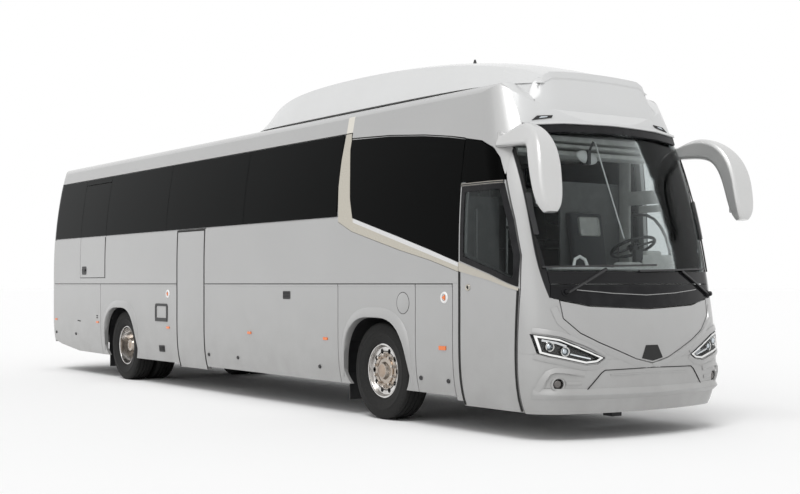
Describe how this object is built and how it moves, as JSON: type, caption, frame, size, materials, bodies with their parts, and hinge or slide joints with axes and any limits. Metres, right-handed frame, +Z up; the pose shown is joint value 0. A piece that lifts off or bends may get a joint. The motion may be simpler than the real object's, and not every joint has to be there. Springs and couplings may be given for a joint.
{
  "type": "two-axle coach bus",
  "caption": "Two-axle high-floor touring coach with hollow cabin, swing-out doors, lifting luggage and service flaps, steering front wheels and free-turning twin rear wheels.",
  "frame": {"origin": "on the road, under the middle of the coach", "axes": "+X forward, +Y to the left side, +Z up"},
  "size_m": [12.9685, 2.7752, 3.894],
  "materials": {
    "body_paint": "satin",
    "roof_paint": "satin",
    "dark_glass": "smooth",
    "lamp": "smooth",
    "trim": "brushed",
    "steel": "satin",
    "plastic": "matte",
    "inner_trim": "matte",
    "fabric": "woven",
    "rim": "polished",
    "tyre": "matte"
  },
  "bodies": {
    "root": {"axles": "steel", "belt_trim": "trim", "chassis_frame": "steel", "dashboard": "inner_trim", "engine": "steel", "entrance_steps": "inner_trim", "floors": "inner_trim", "front_bumper": "body_paint", "front_lamps": "lamp", "front_mask": "body_paint", "luggage_racks": "inner_trim", "mirrors": "body_paint", "partitions": "inner_trim", "rear_bumper": "body_paint", "rear_wall": "body_paint", "roof": "roof_paint", "roof_cap": "roof_paint", "roof_coves": "body_paint", "roof_pod": "roof_paint", "seat_backs": "fabric", "seat_cushions": "fabric", "seat_frames": "steel", "side_wall_left": "body_paint", "side_wall_right": "body_paint", "skirt_panels": "body_paint", "tail_lamps": "lamp", "tanks": "steel", "wheel_arches": "plastic", "windows": "dark_glass", "windscreen": "dark_glass", "wiper_cowl": "body_paint", "wipers": "plastic"},
    "steering_wheel": {"steering_wheel": "plastic"},
    "knuckle_right": {"knuckle_right": "steel"},
    "knuckle_left": {"knuckle_left": "steel"},
    "tie_rod": {"tie_rod": "steel"},
    "wheel_front_right": {"rim_front_right": "rim", "tyre_front_right": "tyre"},
    "wheel_front_left": {"rim_front_left": "rim", "tyre_front_left": "tyre"},
    "wheels_rear_right": {"rim_rear_right": "rim", "tyre_rear_right": "tyre"},
    "wheels_rear_left": {"rim_rear_left": "rim", "tyre_rear_left": "tyre"},
    "front_door_arm": {"front_door_arm": "steel"},
    "front_door": {"front_door": "body_paint", "front_door_glass": "dark_glass"},
    "mid_door_arm": {"mid_door_arm": "steel"},
    "mid_door": {"mid_door": "body_paint"},
    "luggage_flap_right": {"luggage_flap_right": "body_paint"},
    "luggage_flap_left": {"luggage_flap_left": "body_paint"},
    "service_flap": {"service_flap": "body_paint"},
    "engine_flap_right": {"engine_flap_right": "body_paint"},
    "engine_flap_left": {"engine_flap_left": "body_paint"},
    "engine_lid": {"engine_lid": "body_paint"},
    "front_lid": {"front_lid": "body_paint"},
    "emergency_hatch": {"emergency_hatch": "body_paint", "emergency_hatch_glass": "dark_glass"},
    "roof_hatch": {"roof_hatch": "roof_paint"}
  },
  "joints": [
    {"name": "steer_right", "type": "hinge", "parent": "root", "child": "knuckle_right", "pos_m": [3.685, -0.87, 0.5], "axis": [0, 0, 1], "range_deg": [-42, 42]},
    {"name": "steer_left", "type": "hinge", "parent": "root", "child": "knuckle_left", "pos_m": [3.685, 0.87, 0.5], "axis": [0, 0, 1], "range_deg": [-42, 42]},
    {"name": "tie_rod_pin", "type": "hinge", "parent": "knuckle_right", "child": "tie_rod", "pos_m": [3.435, -0.87, 0.39], "axis": [0, 0, 1], "range_deg": [-42, 42]},
    {"name": "steering", "type": "hinge", "parent": "root", "child": "steering_wheel", "pos_m": [5.65, 0.55, 1.8], "axis": [-0.4226, 0, 0.9063], "range_deg": [-630, 630]},
    {"name": "spin_front_right", "type": "hinge", "parent": "knuckle_right", "child": "wheel_front_right", "pos_m": [3.685, -1.05, 0.512], "axis": [0, 1, 0], "continuous": true},
    {"name": "spin_front_left", "type": "hinge", "parent": "knuckle_left", "child": "wheel_front_left", "pos_m": [3.685, 1.05, 0.512], "axis": [0, 1, 0], "continuous": true},
    {"name": "spin_rear_right", "type": "hinge", "parent": "root", "child": "wheels_rear_right", "pos_m": [-3.215, -0.88, 0.512], "axis": [0, 1, 0], "continuous": true},
    {"name": "spin_rear_left", "type": "hinge", "parent": "root", "child": "wheels_rear_left", "pos_m": [-3.215, 0.88, 0.512], "axis": [0, 1, 0], "continuous": true},
    {"name": "front_door_swing", "type": "hinge", "parent": "root", "child": "front_door_arm", "pos_m": [5.84, -1.075, 1], "axis": [0, 0, 1], "range_deg": [0, 110]},
    {"name": "front_door_follow", "type": "hinge", "parent": "front_door_arm", "child": "front_door", "pos_m": [5.34, -1.17, 1], "axis": [0, 0, 1], "range_deg": [-110, 0]},
    {"name": "mid_door_swing", "type": "hinge", "parent": "root", "child": "mid_door_arm", "pos_m": [-1.045, -1.075, 1], "axis": [0, 0, -1], "range_deg": [0, 110]},
    {"name": "mid_door_follow", "type": "hinge", "parent": "mid_door_arm", "child": "mid_door", "pos_m": [-0.56, -1.17, 1], "axis": [0, 0, -1], "range_deg": [-110, 0]},
    {"name": "luggage_flap_right_lift", "type": "hinge", "parent": "root", "child": "luggage_flap_right", "pos_m": [1.3, -1.275, 1.43], "axis": [-1, 0, 0], "range_deg": [0, 95]},
    {"name": "luggage_flap_left_lift", "type": "hinge", "parent": "root", "child": "luggage_flap_left", "pos_m": [1.3, 1.275, 1.43], "axis": [1, 0, 0], "range_deg": [0, 95]},
    {"name": "service_flap_lift", "type": "hinge", "parent": "root", "child": "service_flap", "pos_m": [4.745, -1.275, 1.43], "axis": [-1, 0, 0], "range_deg": [0, 95]},
    {"name": "engine_flap_right_lift", "type": "hinge", "parent": "root", "child": "engine_flap_right", "pos_m": [-5, -1.275, 1.43], "axis": [-1, 0, 0], "range_deg": [0, 95]},
    {"name": "engine_flap_left_lift", "type": "hinge", "parent": "root", "child": "engine_flap_left", "pos_m": [-5, 1.275, 1.43], "axis": [1, 0, 0], "range_deg": [0, 95]},
    {"name": "engine_lid_lift", "type": "hinge", "parent": "root", "child": "engine_lid", "pos_m": [-6.452, 0, 1.886], "axis": [0, 1, 0], "range_deg": [0, 85]},
    {"name": "front_lid_lift", "type": "hinge", "parent": "root", "child": "front_lid", "pos_m": [6.31, 0, 1.32], "axis": [0, -1, 0], "range_deg": [0, 75]},
    {"name": "emergency_hatch_swing", "type": "hinge", "parent": "root", "child": "emergency_hatch", "pos_m": [-3.794, -1.28, 2.2], "axis": [0, 0, 1], "range_deg": [0, 95]},
    {"name": "roof_hatch_lift", "type": "hinge", "parent": "root", "child": "roof_hatch", "pos_m": [-1.998, 0, 3.455], "axis": [0, 1, 0], "range_deg": [0, 60]}
  ],
  "couplings": [
    {"joint": "steer_left", "follows": "steer_right", "ratio": 1},
    {"joint": "tie_rod_pin", "follows": "steer_right", "ratio": -1},
    {"joint": "steering", "follows": "steer_right", "ratio": 15},
    {"joint": "front_door_follow", "follows": "front_door_swing", "ratio": -1},
    {"joint": "mid_door_follow", "follows": "mid_door_swing", "ratio": -1}
  ]
}
